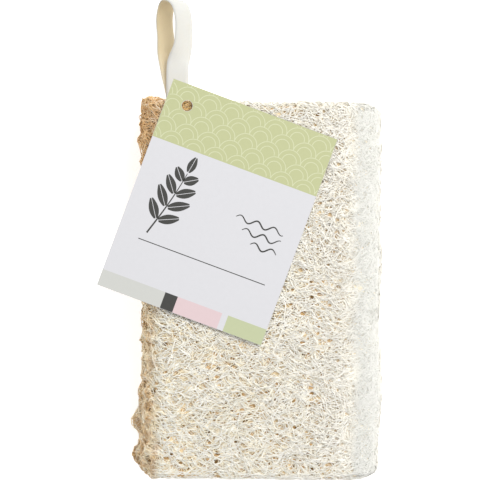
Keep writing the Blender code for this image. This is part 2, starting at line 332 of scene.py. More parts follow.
def softened_pad(name, cell, rounds, sink):
    """The pad's own surface remade in even cells, smoothed, and sunk by a little."""
    shape = bmesh.new()
    shape.from_mesh(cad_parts["loofah_sponge"].data)
    bmesh.ops.remove_doubles(shape, verts=shape.verts[:], dist=1e-6)
    mesh = bpy.data.meshes.new(name)
    shape.to_mesh(mesh)
    shape.free()
    pad = show(bpy.data.objects.new(name, mesh))
    remesh = pad.modifiers.new("cells", "REMESH")
    remesh.mode = "VOXEL"
    remesh.voxel_size = cell
    soften = pad.modifiers.new("soften", "SMOOTH")
    soften.factor = 0.5
    soften.iterations = rounds
    made = plain_mesh(pad)
    points, outward = points_of(made)
    points = points - outward * sink
    points[:, 2] = np.clip(points[:, 2], *GROUND_HEIGHTS)
    move_points(made, points)
    return pad


def smooth_step(value, low, high):
    t = np.clip((value - low) / (high - low), 0, 1)
    return t * t * (3 - 2 * t)


def lumps(points, size, seed):
    """Soft lumps from about -1 to 1 over the surface, made of waves in seeded directions."""
    chance = np.random.default_rng(seed)
    total = np.zeros(len(points))
    for _ in range(14):
        way = chance.normal(size=3)
        way *= 2 * math.pi / (size * chance.uniform(0.7, 1.6)) / np.linalg.norm(way)
        total += np.sin(points @ way + chance.uniform(0, 2 * math.pi))
    return np.clip(total / 3.2, -1.4, 1.4)


def mark(mesh, name, values):
    """Keeps one number or one direction for each vertex, for the fibre tree to read."""
    values = np.asarray(values, dtype=np.float32)
    kind, field = ("FLOAT_VECTOR", "vector") if values.ndim == 2 else ("FLOAT", "value")
    mesh.attributes.new(name, kind, "POINT").data.foreach_set(field, values.ravel())


def on_card(points):
    """How far inside the edge of the card each point is, seen from above."""
    x, y = points[:, 0] - TAG_CENTRE[0], points[:, 1] - TAG_CENTRE[1]
    c, s = math.cos(TAG_TURN), math.sin(TAG_TURN)
    u, v = x * c + y * s, -x * s + y * c
    return np.minimum(TAG_WIDTH / 2 - np.abs(u), TAG_HEIGHT / 2 - np.abs(v))


def upper_right(points):
    """From 0 to 1 on the rounded upper edge on the right, where the loofah is pressed close and palest."""
    return smooth_step(points[:, 0], 0.031, 0.038) * smooth_step(points[:, 2], 0.020, 0.035)


def shape_ground(at, facing):
    """Adds the left side's knots and lumps, and fits the lower end and its right corner."""
    for x, y, z, size, lift in KNOBS:
        beside = ((at[:, 0] - x) ** 2 + (at[:, 2] - z) ** 2) / (2.2 * size) ** 2
        near = np.exp(-(beside + ((at[:, 1] - y) / size) ** 4))
        at += facing * (near * lift)[:, None]
    knobbly = smooth_step(-at[:, 0], 0.0395, 0.0440)
    rough = lumps(at, 0.0052, 31) * 0.0010 + lumps(at, 0.0034, 32) * 0.0004
    at += facing * (knobbly * rough)[:, None]
    at[:, 1] += 0.0009 * smooth_step(-facing[:, 1], 0.2, 0.7)
    low_end = (0.0660, 0.0720)
    at[:, 0] += 0.0012 * smooth_step(at[:, 0], 0.0370, 0.0430) * smooth_step(-at[:, 1], *low_end)
    at[:, 1] -= 0.0013 * smooth_step(at[:, 0], 0.0310, 0.0400) * smooth_step(-at[:, 1], *low_end)


# The fibres

# Pores are about 3.4 mm apart across the pad and 2.2 mm along it
PORE_SPACING = (0.0034, 0.0022, 0.0028)
PORE_SIZES = (0.18, 0.51)  # shares of that spacing, from the smallest pore to the largest
FIBRE_LEAN = (0.15, 1.0, 0.10)  # the fibres lie across this line, which is about the pad's own
OVER_UNDER = 0.00022  # how far a fibre rises and falls over its neighbours
TIP_TUCK = 0.0007
PORE_DIVE = 0.0011
# Each thread's middle is kept between these heights, softly, and its surface between the wider ones
LINE_HEIGHTS = (0.0003, SPONGE_TOP - 0.0002)
SOFTNESS = 0.0004
THREAD_HEIGHTS = (0.00006, SPONGE_TOP + 0.00015)
# The fibres part by this much above, below and beside the ribbon's tails, as deep as these are sewn in
TAIL_GAP = 0.0013
TAIL_SIDE_GAP = 0.0006
TAIL_DEPTH = 0.010
# A seed channel's mouth: half its width and height, and how deep its shade reaches and fades
CHANNEL_HALF = (0.0075, 0.0045)
CHANNEL_REACH = 0.0125
CHANNEL_RIM = 0.0012
CHANNEL_FADE = 0.0030
# From where to where the fibres' colour changes across the pad, or from a point: mostly painted light and
# shade
PALER = (-0.038, 0.028)
STAINED_AND_SHADED = (-0.0362, -0.0412)
RIGHT_SIDE_GREY = (0.0370, 0.0425)
SHADED_CORNER = (-0.0460, 0.0400, 0.0)
SHADED_CORNER_REACH = (0.0190, 0.0270)
HOLE_SHADE_REACH = (0.0026, 0.0048)
# Where it changes towards the cut ends, for the fibres and for the inner net
END_FIBRES = (0.0735, 0.0750)
END_NET = (0.0725, 0.0745)
# The sizes that set one layer of fibres apart, in the order of the table of layers
FIBRE_SIZES = (
    ("Fibres per square metre", "NodeSocketFloat"),
    ("Fibre length", "NodeSocketFloat"),
    ("Fibre thickness", "NodeSocketFloat"),
    ("Height", "NodeSocketFloat"),
    ("Height spread", "NodeSocketFloat"),
    ("Stray angle", "NodeSocketFloat"),
    ("Wander", "NodeSocketFloat"),
    ("Points on a fibre", "NodeSocketInt"),
    ("Seed", "NodeSocketInt"),
)


def nearest_pore(tree, place):
    """A place measured in pores, the pore's cell that it is in, and that pore's size."""
    scaled = add(tree, VECTOR, [place, PORE_SPACING], operation="DIVIDE")
    cell = add(tree, CELLS, {"Vector": scaled, "Scale": 1.0, "Randomness": 0.85},
               voronoi_dimensions="3D", feature="F1")
    chance = add(tree, SPLIT, [cell.outputs["Color"]])
    return scaled, cell, add(tree, RANGE, [chance, 0.0, 1.0, *PORE_SIZES])


def fibre_tree():
    """Fibres strewn on a ground, laid mostly across the pad, spread round small pores and pressed down."""
    tree = bpy.data.node_groups.new("laid_fibres", "GeometryNodeTree")
    sockets = {}
    for name, kind in (("Ground", "NodeSocketGeometry"), *FIBRE_SIZES, ("Fibre", "NodeSocketMaterial")):
        sockets[name] = tree.interface.new_socket(name=name, in_out="INPUT", socket_type=kind).identifier
    tree.interface.new_socket(name="Fibres", in_out="OUTPUT", socket_type="NodeSocketGeometry")
    given = add(tree, "NodeGroupInput").outputs

    def of_ground(name, kind, place):
        """What the ground's own mark says at the point of it that is nearest to a place."""
        marked = add(tree, NAMED, [name], data_type=kind)
        feeds = {"Mesh": given["Ground"], "Value": marked, "Sample Position": place}
        return add(tree, "GeometryNodeSampleNearestSurface", feeds, data_type=kind)

    # Where each fibre's middle is. Its own random number, stray angle and length
    cover = add(tree, NAMED, ["cover"], data_type="FLOAT")
    density = add(tree, MATH, [given["Fibres per square metre"], cover], operation="MULTIPLY")
    strewn = {"Mesh": given["Ground"], "Density": density, "Seed": given["Seed"]}
    strewn = add(tree, "GeometryNodeDistributePointsOnFaces", strewn, distribute_method="RANDOM")
    own, stray, long = (
        add(tree, "FunctionNodeRandomValue", {2: low, 3: high, "Seed": seed}, data_type="FLOAT").outputs[1]
        for low, high, seed in ((0.0, 1.0, 5), (-1.0, 1.0, 9), (0.6, 1.35, 13))
    )
    numbered = {"Geometry": strewn, "Name": "tone", "Value": own}
    numbered = add(tree, STORE, numbered, data_type="FLOAT", domain="POINT")

    # Its direction: across the pad, turned by a slow drift over the face and by its own stray angle
    normal = strewn.outputs[1]
    across = add(tree, VECTOR, [FIBRE_LEAN, normal], operation="CROSS_PRODUCT")
    across = add(tree, VECTOR, [across], operation="NORMALIZE")
    stray = add(tree, MATH, [stray, given["Stray angle"]], operation="MULTIPLY")
    here = add(tree, "GeometryNodeInputPosition")
    drift = add(tree, NOISE, {"Vector": here, "Scale": per(13.33), "Detail": 1.0}, noise_dimensions="3D")
    drift = add(tree, RANGE, [drift, 0.25, 0.75, -0.6, 0.6])
    angle = add(tree, MATH, [stray, drift], operation="ADD")
    heading = add(tree, "ShaderNodeVectorRotate", {"Vector": across, "Axis": normal, "Angle": angle},
                  rotation_type="AXIS_ANGLE")
    headed = {"Geometry": numbered, "Name": "heading", "Value": heading}
    headed = add(tree, STORE, headed, data_type="FLOAT_VECTOR", domain="POINT")
    turn = add(tree, "FunctionNodeAxesToRotation", [heading, normal], primary_axis="X", secondary_axis="Z")

    # A straight line of points for each, to its own length
    ends = [(-0.5, 0.0, 0.0), (0.5, 0.0, 0.0)]
    straight = add(tree, "GeometryNodeCurvePrimitiveLine", ends, mode="POINTS")
    straight = add(tree, "GeometryNodeResampleCurve",
                   {"Curve": straight, "Count": given["Points on a fibre"]}, mode="COUNT")
    long = add(tree, MATH, [long, given["Fibre length"]], operation="MULTIPLY")
    long = add(tree, JOIN, [long, 1.0, 1.0])
    laid = add(tree, "GeometryNodeInstanceOnPoints",
               {"Points": headed, "Instance": straight, "Rotation": turn, "Scale": long})
    laid = add(tree, "GeometryNodeRealizeInstances", [laid])

    # It wanders to the sides
    tone = add(tree, NAMED, ["tone"], data_type="FLOAT")
    which = add(tree, MATH, [tone, 900.0], operation="MULTIPLY")
    spot = add(tree, "GeometryNodeInputPosition")
    bend = add(tree, NOISE, {"Vector": spot, "W": which, "Scale": per(3.333), "Detail": 1.0},
               noise_dimensions="4D").outputs["Color"]
    bend = add(tree, VECTOR, [bend, (0.5, 0.5, 0.5)], operation="SUBTRACT")
    bend = add(tree, VECTOR, {0: bend, "Scale": given["Wander"]}, operation="SCALE")
    moved = add(tree, VECTOR, [spot, bend], operation="ADD")

    # It bows sideways round the nearest pore
    open_here = of_ground("open", "FLOAT", moved)
    scaled, cell, size = nearest_pore(tree, moved)
    away = add(tree, VECTOR, [scaled, cell.outputs["Position"]], operation="SUBTRACT")
    gap = add(tree, VECTOR, [away], operation="LENGTH").outputs["Value"]
    ahead = add(tree, NAMED, ["heading"], data_type="FLOAT_VECTOR")
    ahead = add(tree, VECTOR, [ahead, PORE_SPACING], operation="DIVIDE")
    ahead = add(tree, VECTOR, [away, ahead], operation="PROJECT")
    beside = add(tree, VECTOR, [away, ahead], operation="SUBTRACT")
    beside = add(tree, VECTOR, [beside], operation="NORMALIZE")
    size = add(tree, MATH, [size, open_here], operation="MULTIPLY")
    push = add(tree, MATH, [size, gap], operation="SUBTRACT")
    push = add(tree, MATH, [push, 0.0], operation="MAXIMUM")
    beside = add(tree, VECTOR, [beside, PORE_SPACING], operation="MULTIPLY")
    beside = add(tree, VECTOR, {0: beside, "Scale": push}, operation="SCALE")
    spread = add(tree, VECTOR, [moved, beside], operation="ADD")

    # It is pressed to its height on the ground, goes over and under its neighbours, and its tips tuck in.
    # Where it would cross the middle of a pore it dives to the inner net
    nearest = add(tree, "GeometryNodeProximity", {"Geometry": given["Ground"], "Sample Position": spread},
                  target_element="FACES")
    along = add(tree, "GeometryNodeSplineParameter")
    middle = add(tree, RANGE, [along, 0.0, 1.0, -1.0, 1.0])
    tips = add(tree, MATH, [middle, 4.0], operation="POWER")
    level = add(tree, MATH, [tone, given["Height spread"], given["Height"]], operation="MULTIPLY_ADD")
    wave = add(tree, NOISE, {"Vector": spot, "W": which, "Scale": per(3.125), "Detail": 0.0},
               noise_dimensions="4D")
    wave = add(tree, RANGE, [wave, 0.2, 0.8, -OVER_UNDER, OVER_UNDER])
    level = add(tree, MATH, [level, wave], operation="ADD")
    level = add(tree, MATH, [tips, -TIP_TUCK, level], operation="MULTIPLY_ADD")
    dive = add(tree, RANGE, [push, 0.08, 0.26, 0.0, -PORE_DIVE])
    level = add(tree, MATH, [level, dive], operation="ADD")
    calm = add(tree, RANGE, [open_here, 0.0, 1.0, 0.25, 1.0])
    level = add(tree, MATH, [level, calm], operation="MULTIPLY")
    outward = of_ground("outward", "FLOAT_VECTOR", spread)
    rise = add(tree, VECTOR, {0: outward, "Scale": level}, operation="SCALE")
    final = add(tree, VECTOR, [nearest, rise], operation="ADD")
    x, y, height = add(tree, SPLIT, [final]).outputs
    height = add(tree, MATH, [height, LINE_HEIGHTS[1], SOFTNESS], operation="SMOOTH_MIN")
    height = add(tree, MATH, [height, LINE_HEIGHTS[0], SOFTNESS], operation="SMOOTH_MAX")
    final = add(tree, JOIN, [x, y, height])
    pressed = add(tree, "GeometryNodeSetPosition", {"Geometry": laid, "Position": final})
    deep = add(tree, RANGE, [level, 0.0005, -0.0012, 0.0, 1.0])
    pressed = {"Geometry": pressed, "Name": "deep", "Value": deep}
    pressed = add(tree, STORE, pressed, data_type="FLOAT", domain="POINT")

    # Three-sided threads, thinner at the tips
    thin = add(tree, RANGE, [tips, 0.0, 1.0, 1.0, 0.45])
    stout = add(tree, MATH, [which], operation="FRACT")
    stout = add(tree, RANGE, [stout, 0.0, 1.0, 0.34, 0.66])
    radius = add(tree, MATH, [stout, thin], operation="MULTIPLY")
    radius = add(tree, MATH, [radius, given["Fibre thickness"]], operation="MULTIPLY")
    ring = add(tree, "GeometryNodeCurvePrimitiveCircle", {"Resolution": 3, "Radius": 1.0}, mode="RADIUS")
    threads = {"Curve": pressed, "Profile Curve": ring, "Scale": radius}
    threads = add(tree, "GeometryNodeCurveToMesh", threads)
    threads = add(tree, "GeometryNodeSetShadeSmooth", {"Geometry": threads})
    threads = add(tree, "GeometryNodeRealizeInstances", [threads])
    threads = add(tree, "GeometryNodeSetMaterial", {"Geometry": threads, "Material": given["Fibre"]})
    add(tree, "NodeGroupOutput", [threads])
    return tree, sockets


def part_at_tails(points):
    """The ribbon's tails are sewn in at the end, so the fibres part round them."""
    aside = points[:, 2] - (RIBBON_ROOT_Z + TAIL_RISE / 2)
    at_tails = (
        (np.abs(points[:, 0] - RIBBON_ROOT_X) < RIBBON_WIDTH / 2 + TAIL_SIDE_GAP)
        & (points[:, 1] > END_FACE_Y - TAIL_DEPTH)
        & (np.abs(aside) < TAIL_GAP)
    )
    points[at_tails, 2] += (np.sign(aside) * TAIL_GAP - aside)[at_tails]


def shade_channels(mesh, points):
    """Marks the fibres inside the mouths of the seed channels as deeper than any other, for painted shade
    there.
    """
    deep = np.empty(len(points), dtype=np.float32)
    mesh.attributes["deep"].data.foreach_get("value", deep)
    from_middle = np.abs(points[:, 1])
    inside = np.clip((END_FACE_Y - CHANNEL_RIM - from_middle) / CHANNEL_FADE, 0, 1)
    inside *= from_middle > END_FACE_Y - CHANNEL_REACH
    half_width, half_height = CHANNEL_HALF
    for x, z in SEED_CHANNELS:
        near = ((points[:, 0] - x) / half_width) ** 2 + ((points[:, 2] - z) / half_height) ** 2
        deep = np.maximum(deep, inside * np.clip(2.2 - 1.4 * near, 0, 1) * 1.6)
    mesh.attributes["deep"].data.foreach_set("value", deep.astype(np.float32))


def fibre_mat(name, cover, fibre, sizes):
    """One layer of fibres as a plain mesh."""
    mat = show(bpy.data.objects.new(name, ground.data.copy()))
    mark(mat.data, "cover", cover)
    modifier = mat.modifiers.new("fibres", "NODES")
    modifier.node_group = laid_fibres
    for (label, _), value in zip(FIBRE_SIZES, sizes):
        modifier[sockets[label]] = value
    modifier[sockets["Fibre"]] = fibre
    made = plain_mesh(mat)
    dress(made, fibre)
    points, _ = points_of(made)
    points[:, 2] = np.clip(points[:, 2], *THREAD_HEIGHTS)
    part_at_tails(points)
    move_points(made, points)
    shade_channels(made, points)
    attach(mat, "root")
    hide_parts("loofah_sponge")


def loofah_fibre(name, pale, straw, tan, dusk):
    """Dried loofah fibre, rinsed and sun-bleached: thin matt plant cords, cream outside and straw within,
    with painted light and shade.
    """
    material, tree = new_material(name)
    tone = add(tree, "ShaderNodeAttribute", attribute_name="tone").outputs["Fac"]
    deep = add(tree, "ShaderNodeAttribute", attribute_name="deep").outputs["Fac"]
    place = add(tree, "ShaderNodeTexCoord").outputs["Object"]
    x, y, z = add(tree, SPLIT, [place]).outputs
    # Patches of about 12 mm that are paler or more straw-like, and flecks of about 1 mm along each cord
    patch = add(tree, NOISE, {"Vector": place, "Scale": per(11.76), "Detail": 2.0})
    fleck = add(tree, NOISE, {"Vector": place, "Scale": per(1.111), "Detail": 2.0})
    spots = add(tree, MATH, [tone, 0.55, patch], operation="MULTIPLY_ADD")
    spots = add(tree, RANGE, [spots, 0.45, 1.10, 0.0, 1.0])
    # Deeper fibres are painted tan: their own straw colour, and painted shade between the cords
    under = add(tree, RANGE, [deep, 0.25, 0.95, 0.0, 0.95])
    # Inside the seed channels the fibres are painted tan brown: painted shade in the hollows
    channel = add(tree, RANGE, [deep, 1.0, 1.6, 0.0, 1.0])
    flecks = add(tree, RANGE, [fleck, 0.55, 0.80, 0.0, 0.45])
    # Towards the right it is painted paler: painted light from the side the lamps are on
    paler = add(tree, RANGE, [x, *PALER, 0.0, 0.78])
    # The left side is painted tan in patches of about 4 mm: partly less bleached fibre, partly painted
    # shade, as it turns from the light. Its edge is ragged, over about 5 mm
    stain_and_shade = add(tree, NOISE, {"Vector": place, "Scale": per(4.0), "Detail": 2.0})
    stain_and_shade = add(tree, RANGE, [stain_and_shade, 0.42, 0.66, 0.0, 1.0])
    stain_and_shade = coats(tree, "#F9E7C5", (stain_and_shade, "#D2AB70"))
    ragged = add(tree, MATH, [patch, 0.008, x], operation="MULTIPLY_ADD")
    takes = add(tree, RANGE, [tone, 0.0, 0.6, 0.45, 1.0])
    side = add(tree, RANGE, [ragged, *STAINED_AND_SHADED, 0.0, 0.92])
    side = add(tree, MATH, [side, takes], operation="MULTIPLY")
    # The upper left corner is painted brown within about 19 mm of a point on the side: painted shade, where
    # the card's shadow falls and the side turns from the light
    corner = add(tree, VECTOR, [place, (1.0, 0.55, 0.0)], operation="MULTIPLY")
    corner = add(tree, VECTOR, [corner, SHADED_CORNER], operation="DISTANCE").outputs["Value"]
    corner = add(tree, MATH, [patch, 0.006, corner], operation="MULTIPLY_ADD")
    corner = add(tree, RANGE, [corner, *SHADED_CORNER_REACH, 0.84, 0.0])
    corner = add(tree, MATH, [corner, takes], operation="MULTIPLY")
    # Under the hole of the card it is painted tan: painted shade under the card
    hole = add(tree, VECTOR, [place, HOLE_PLACE], operation="DISTANCE").outputs["Value"]
    hole = add(tree, RANGE, [hole, *HOLE_SHADE_REACH, 0.8, 0.0])
    # The right side, turned to the light, is painted a greyer white against the strong light there, but not
    # low down or at the cut ends
    right = add(tree, RANGE, [ragged, *RIGHT_SIDE_GREY, 0.0, 0.92])
    lower = add(tree, RANGE, [z, 0.018, 0.035, 0.25, 1.0])
    end = add(tree, MATH, [y], operation="ABSOLUTE")
    end = add(tree, RANGE, [end, *END_FIBRES, 1.0, 0.3])
    right = add(tree, MATH, [right, lower], operation="MULTIPLY")
    right = add(tree, MATH, [right, end], operation="MULTIPLY")
    paint = coats(tree, pale, (spots, straw), (under, tan), (channel, "#B58A4E"), (flecks, dusk))
    paint = coats(tree, paint, (paler, "#FFFBF1"), (side, stain_and_shade), (corner, "#E8C088"), (hole, "#DFBC7C"),
                  (right, "#DDDDD8"))
    bump = add(tree, BUMP, {"Strength": 0.4, "Distance": 0.00006, "Height": fleck})
    # Thin dry fibre lets a little light through, which keeps the shade between the cords warm
    surface = add(tree, SURFACE, {
        "Base Color": paint, "Roughness": 0.72, "IOR": 1.45, "Specular IOR Level": 0.35,
        "Subsurface Weight": 0.4, "Subsurface Radius": (0.0008, 0.0008, 0.0008), "Normal": bump})
    add(tree, OUTPUT, [surface])
    return material


def inner_net():
    """The deeper loofah net that shows through the pores: tan plant fibre in shade, felted and dry, with
    painted shade in its pores.
    """
    material, tree = new_material("inner_loofah_net")
    place = add(tree, "ShaderNodeTexCoord").outputs["Object"]
    x, y, _ = add(tree, SPLIT, [place]).outputs
    # A net of about 1.6 mm, longer across the pad than along it, in patches of about 4 mm
    stretch = add(tree, "ShaderNodeMapping", {"Vector": place, "Scale": (0.45, 1.0, 0.8)})
    cords = add(tree, CELLS, {"Vector": stretch, "Scale": per(1.5625)}, feature="DISTANCE_TO_EDGE")
    cords = cords.outputs["Distance"]
    patch = add(tree, NOISE, {"Vector": place, "Scale": per(3.846), "Detail": 3.0})
    tint = add(tree, RANGE, [patch, 0.35, 0.70, 0.0, 1.0])
    # At the bottom of the pores that the fibres above bow round, and only there, it is painted straw tan:
    # painted shade
    over = add(tree, VECTOR, [place, (0.0, 0.0, NET_SINK)], operation="ADD")
    _, cell, size = nearest_pore(tree, over)
    inside = add(tree, MATH, [size, cell.outputs["Distance"]], operation="SUBTRACT")
    inside = add(tree, RANGE, [inside, -0.16, 0.02, 0.15, 0.95])
    straw = coats(tree, "#DFBF92", (tint, "#C29D6A"))
    # Painted shade in its own small holes, and darker painted shade in a few pores that go right through to
    # the dark inside
    holes = add(tree, RANGE, [cords, 0.08, 0.24, 0.0, 0.8])
    holes = add(tree, MATH, [holes, inside], operation="MULTIPLY")
    depths = add(tree, NOISE, {"Vector": place, "Scale": per(3.03), "Detail": 1.0, "Roughness": 0.4})
    depths = add(tree, RANGE, [depths, 0.58, 0.66, 0.0, 0.9])
    depths = add(tree, MATH, [depths, inside], operation="MULTIPLY")
    # Behind the cut ends it lies in shade
    end = add(tree, MATH, [y], operation="ABSOLUTE")
    end = add(tree, RANGE, [end, *END_NET, 0.0, 0.6])
    # Towards the right it is painted paler: painted light from the side the lamps are on
    right = add(tree, RANGE, [x, 0.022, 0.040, 0.0, 0.85])
    paint = coats(tree, "#F6E6C4", (tint, "#E8CC98"), (inside, straw), (holes, "#9E7C4C"),
                  (depths, "#5C4525"), (end, "#B89C6E"), (right, "#EDE5D0"))
    bump = add(tree, BUMP, {"Strength": 0.8, "Distance": 0.0006, "Height": cords}, invert=True)
    surface = add(tree, SURFACE, {
        "Base Color": paint, "Roughness": 0.85, "IOR": 1.45, "Specular IOR Level": 0.2, "Normal": bump})
    add(tree, OUTPUT, [surface])
    return material


ground = softened_pad("ground", 0.0016, 4, 0.0)
at, facing = points_of(ground.data)
shape_ground(at, facing)
move_points(ground.data, at)
at, facing = points_of(ground.data)
at_ends = smooth_step(np.abs(facing[:, 1]), 0.3, 0.7)
pale_side = upper_right(at) * (1 - at_ends)
mark(ground.data, "outward", facing)
mark(ground.data, "open", 1.0 - 0.9 * pale_side)

# The cover: how thick the fibres lie. Few lie under the card, except where its hole shows them
upward = smooth_step(facing[:, 2], 0.10, 0.45)
under_card = smooth_step(on_card(at), 0.002, 0.006) * upward
from_hole = (at[:, 0] - HOLE_PLACE[0]) ** 2 + (at[:, 1] - HOLE_PLACE[1]) ** 2
at_hole = np.exp(-from_hole / 0.0045**2)
face_cover = upward * (1 - 0.88 * under_card * (1 - at_hole)) * (1 + 0.45 * pale_side)
side_cover = (1 - upward) * np.where(at[:, 2] < 0.004, 0.5, 1.0) * (1 + 0.6 * at_ends)
cord_cover = 0.3 + 0.7 * upward

laid_fibres, sockets = fibre_tree()
outer_fibre = loofah_fibre("bleached_loofah_fibre", "#FFFEF7", "#FFFBED", "#F8E6C1", "#EBD3A8")
# The deep layers are straw fibre, and their warm colours are partly painted shade between the cords
deep_fibre = loofah_fibre("straw_and_shade_loofah_fibre", "#FFFAEB", "#FEF1D5", "#F5E0B5", "#DCBA84")
# Each layer's sizes are in the order of FIBRE_SIZES
for layer, cover, fibre, sizes in (
    ("face_fibres_top", face_cover, outer_fibre,
     (375000, 0.0062, 0.00036, 0.00005, 0.0002, 0.95, 0.0036, 7, 3)),
    ("face_fibres_under", face_cover, outer_fibre,
     (375000, 0.0062, 0.00040, -0.00018, 0.0002, 1.05, 0.0036, 7, 4)),
    ("face_fibres_deep", face_cover, deep_fibre,
     (420000, 0.0076, 0.00050, -0.00050, 0.0003, 1.6, 0.0040, 5, 5)),
    ("side_fibres_outer", side_cover, outer_fibre,
     (140000, 0.0092, 0.00050, 0.0, 0.0005, 1.3, 0.0046, 7, 6)),
    ("side_fibres_under", side_cover, outer_fibre,
     (140000, 0.0092, 0.00055, -0.00050, 0.0005, 1.3, 0.0046, 7, 7)),
    ("side_fibres_deep", side_cover, deep_fibre,
     (110000, 0.0100, 0.00062, -0.00100, 0.0005, 1.6, 0.0046, 5, 9)),
    ("long_white_cords", cord_cover, outer_fibre,
     (6000, 0.0150, 0.00050, 0.00008, 0.0002, 1.6, 0.0030, 12, 8)),
):
    fibre_mat(layer, cover, fibre, sizes)

core = softened_pad("inner_net", 0.0020, 6, NET_SINK)
at_core, out_of_core = points_of(core.data)
at_core += out_of_core * (0.0006 * upper_right(at_core))[:, None]
move_points(core.data, at_core)
dress(core.data, inner_net())
for face in core.data.polygons:
    face.use_smooth = True
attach(core, "root")
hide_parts("loofah_sponge")
bpy.data.objects.remove(ground)


# The card: smooth coated board, with inks laid on its upper face. Places on it are from its middle

BARE_EDGE = 0.00006
LEFT, RIGHT = -TAG_WIDTH / 2 + BARE_EDGE, TAG_WIDTH / 2 - BARE_EDGE
BOTTOM, TOP = -TAG_HEIGHT / 2 + BARE_EDGE, TAG_HEIGHT / 2 - BARE_EDGE
BAND_HEIGHT = 0.0240
BAND_FOOT = TAG_HEIGHT / 2 - BAND_HEIGHT
STRIP_HEAD = -TAG_HEIGHT / 2 + 0.0066
# Where the strip's sand, charcoal, rose and bare parts end
SAND_END, DARK_END, ROSE_END, BARE_END = (LEFT + far for far in (0.0262, 0.0314, 0.0500, 0.0525))
# An ink's foot and head over the card, and those of the ink printed over it
INK = (0.000002, 0.000012)
OVER_INK = (0.000012, 0.000018)
HOLE_MARGIN = 0.00010
SCALLOP = 0.0046  # radius of one scale
INNER_ARC = 0.62  # its radius as a share of the outer one's
SCALLOP_SHIFT = 0.0011
SCALLOP_MARGIN = 0.0002
SCALLOP_HOLE_MARGIN = 0.0005
SCALLOP_LINE = 0.00030
SPRIG_FOOT = (-0.0232, -0.0172)
SPRIG_HEIGHT = 0.0272
VEIN = 0.00010  # half the bare line in the middle of a leaf
RIPPLES_RIGHT, RIPPLES_TOP = 0.0275, 0.0010
RIPPLE_SPACING = 0.0042
RIPPLE_RISE = 0.0011
RIPPLE_TURN = 900  # radians to a metre, so that one wave is 7 mm long
RULE = (-0.0255, 0.0275, -0.0206, -0.02025)


def coated_card():
    """Coated paperboard, satin smooth and white, with the faint mottle of its pulp."""
    material, tree = new_material("coated_paperboard")
    place = add(tree, "ShaderNodeTexCoord").outputs["Object"]
    # Pulp mottle of about 2 mm and fibres of about 0.3 mm
    mottle = add(tree, NOISE, {"Vector": place, "Scale": per(2.083), "Detail": 3.0})
    pulp = add(tree, NOISE, {"Vector": place, "Scale": per(0.3125), "Detail": 2.0})
    paint = coats(tree, "#D2D2D5", (mottle, "#CECED1"))
    bump = add(tree, BUMP, {"Strength": 0.08, "Distance": 0.00003, "Height": pulp})
    surface = add(tree, SURFACE, {"Base Color": paint, "Roughness": 0.48, "IOR": 1.50, "Normal": bump})
    add(tree, OUTPUT, [surface])
    return material


def offset_ink(name, shade, deeper):
    """Offset ink on coated board: thin, even and satin, with a very faint print mottle."""
    material, tree = new_material(name)
    place = add(tree, "ShaderNodeTexCoord").outputs["Object"]
    # Print mottle of about 1 mm
    mottle = add(tree, NOISE, {"Vector": place, "Scale": per(1.111), "Detail": 3.0})
    paint = coats(tree, shade, (mottle, deeper))
    surface = add(tree, SURFACE, {"Base Color": paint, "Roughness": 0.42, "IOR": 1.50})
    add(tree, OUTPUT, [surface])
    return material


def printed(name, shapes, material, heights=INK, lift=0.0):
    """Flat inked shapes as one mesh. Each shape is an outline, with the outlines of its holes after it.
    Shapes that cross lie at heights of their own."""
    low, high = heights
    shape = bmesh.new()
    for number, outlines in enumerate(shapes):
        head = TAG_TOP + high + lift * (number % 7)
        flat = [[Vector((u, v, 0)) for u, v in outline] for outline in outlines]
        corners = [p for outline in flat for p in outline]
        upper = [shape.verts.new(on_tag(p.x, p.y, head)) for p in corners]
        lower = [shape.verts.new(on_tag(p.x, p.y, TAG_TOP + low)) for p in corners]
        for a, b, c in tessellate_polygon(flat):
            shape.faces.new((upper[a], upper[b], upper[c]))
            shape.faces.new((lower[c], lower[b], lower[a]))
        start = 0
        for outline in flat:
            count = len(outline)
            for i in range(count):
                a, b = start + i, start + (i + 1) % count
                shape.faces.new((upper[a], upper[b], lower[b], lower[a]))
            start += count
    bmesh.ops.recalc_face_normals(shape, faces=shape.faces[:])
    mesh = bpy.data.meshes.new(name)
    shape.to_mesh(mesh)
    shape.free()
    mesh.materials.append(material)
    piece = show(bpy.data.objects.new(name, mesh))
    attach(piece, "root")


def block(u0, u1, v0, v1):
    return [(u0, v0), (u1, v0), (u1, v1), (u0, v1)]


def arc(centre, radius, turn, steps):
    """Points on a circle, from its right side round by a turn in radians."""
    angles = [turn * i / steps for i in range(steps + 1)]
    return [(centre[0] + radius * math.cos(a), centre[1] + radius * math.sin(a)) for a in angles]


def stroke(points, width):
    """A line as one outline. Its width is even, or a list with a width for each point."""
    points = np.array(points, dtype=float)
    ways = np.gradient(points, axis=0)
    ways /= np.linalg.norm(ways, axis=1)[:, None]
    half = np.asarray(width) / 2 * np.ones(len(points))
    sides = np.stack([-ways[:, 1], ways[:, 0]], axis=1) * half[:, None]
    return [tuple(p) for p in points + sides] + [tuple(p) for p in (points - sides)[::-1]]


def leaf(root, angle, length, width):
    """A pointed leaf from its root as two halves, with its middle vein left out of the ink."""
    c, s = math.cos(angle), math.sin(angle)
    edge = []
    for t in (i / 12 for i in range(1, 12)):
        edge.append((t, width / 2 * math.sin(math.pi * t) ** 0.85 * (1.15 - 0.3 * t) + VEIN))
    edge += [(t, VEIN) for t in (0.92, 0.6, 0.3, 0.08)]
    halves = []
    for side in (1, -1):
        half = [(t * length, side * w) for t, w in edge]
        halves.append([(root[0] + c * far - s * w, root[1] + s * far + c * w) for far, w in half])
    return halves


